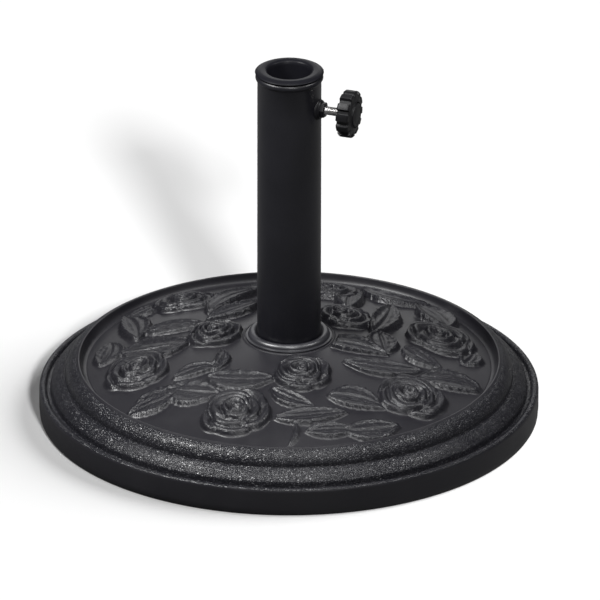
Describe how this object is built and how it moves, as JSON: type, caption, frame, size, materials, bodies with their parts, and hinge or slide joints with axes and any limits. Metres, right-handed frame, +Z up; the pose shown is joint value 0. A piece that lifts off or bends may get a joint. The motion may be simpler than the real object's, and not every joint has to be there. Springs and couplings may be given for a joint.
{
  "type": "parasol base",
  "caption": "Round moulded parasol base with a rose relief, a steel stand tube, a removable adapter sleeve and a side clamp screw with a star knob.",
  "frame": {"origin": "centre of the base on the floor", "axes": "+Z up along the stand tube; -Y is the front; the clamp screw points front right, 20 degrees from +X towards -Y"},
  "size_m": [0.455, 0.455, 0.34],
  "materials": {
    "base_shell": "moulded black plastic, leather grain on the bands and petals, satin",
    "concrete_core": "cast cement, rough grey",
    "bottom_cover": "moulded black plastic, fine texture",
    "feet": "black rubber, matt",
    "cover_screws": "zinc-plated steel",
    "anchor_hardware": "zinc-plated steel",
    "stand_tube": "black powder coat, satin",
    "weld_nut": "black powder coat over the weld",
    "foot_collar": "smooth black plastic, semi-gloss",
    "adapter_sleeve": "smooth black plastic, semi-gloss",
    "screw_tip": "black nylon",
    "clamp_screw": "bright zinc plate",
    "clamp_knob": "moulded black plastic, fine texture"
  },
  "bodies": {
    "base": {"base_shell": "base_shell", "concrete_core": "concrete_core", "bottom_cover": "bottom_cover", "foot_1": "feet", "foot_2": "feet", "foot_3": "feet", "foot_4": "feet", "foot_5": "feet", "foot_6": "feet", "cover_screw_1": "cover_screws", "cover_screw_2": "cover_screws", "cover_screw_3": "cover_screws", "cover_screw_4": "cover_screws", "cover_screw_5": "cover_screws", "cover_screw_6": "cover_screws", "anchor_plate": "anchor_hardware", "bolt_washer": "anchor_hardware", "spring_washer": "anchor_hardware", "centre_bolt": "anchor_hardware", "stand_tube": "stand_tube", "tube_end_plate": "anchor_hardware", "weld_nut": "weld_nut"},
    "collar": {"foot_collar": "foot_collar"},
    "sleeve": {"adapter_sleeve": "adapter_sleeve"},
    "pad": {"screw_tip": "screw_tip"},
    "clamp": {"clamp_screw": "clamp_screw", "clamp_knob": "clamp_knob", "knob_cap": "clamp_knob"}
  },
  "joints": [
    {"name": "collar_lift", "type": "slide", "parent": "base", "child": "collar", "axis": [0, 0, 1], "range_m": [0, 0.2]},
    {"name": "sleeve_lift", "type": "slide", "parent": "base", "child": "sleeve", "axis": [0, 0, 1], "range_m": [0, 0.035]},
    {"name": "pad_travel", "type": "slide", "parent": "base", "child": "pad", "axis": [-0.9397, 0.342, 0], "range_m": [-0.005, 0.01125]},
    {"name": "knob_turn", "type": "hinge", "parent": "pad", "child": "clamp", "pos_m": [0.05507, -0.02004, 0.305], "axis": [-0.9397, 0.342, 0], "range_deg": [-1440, 3240]}
  ],
  "couplings": [
    {"joint": "pad_travel", "follows": "knob_turn", "m_per_rad": 0.00019894}
  ]
}
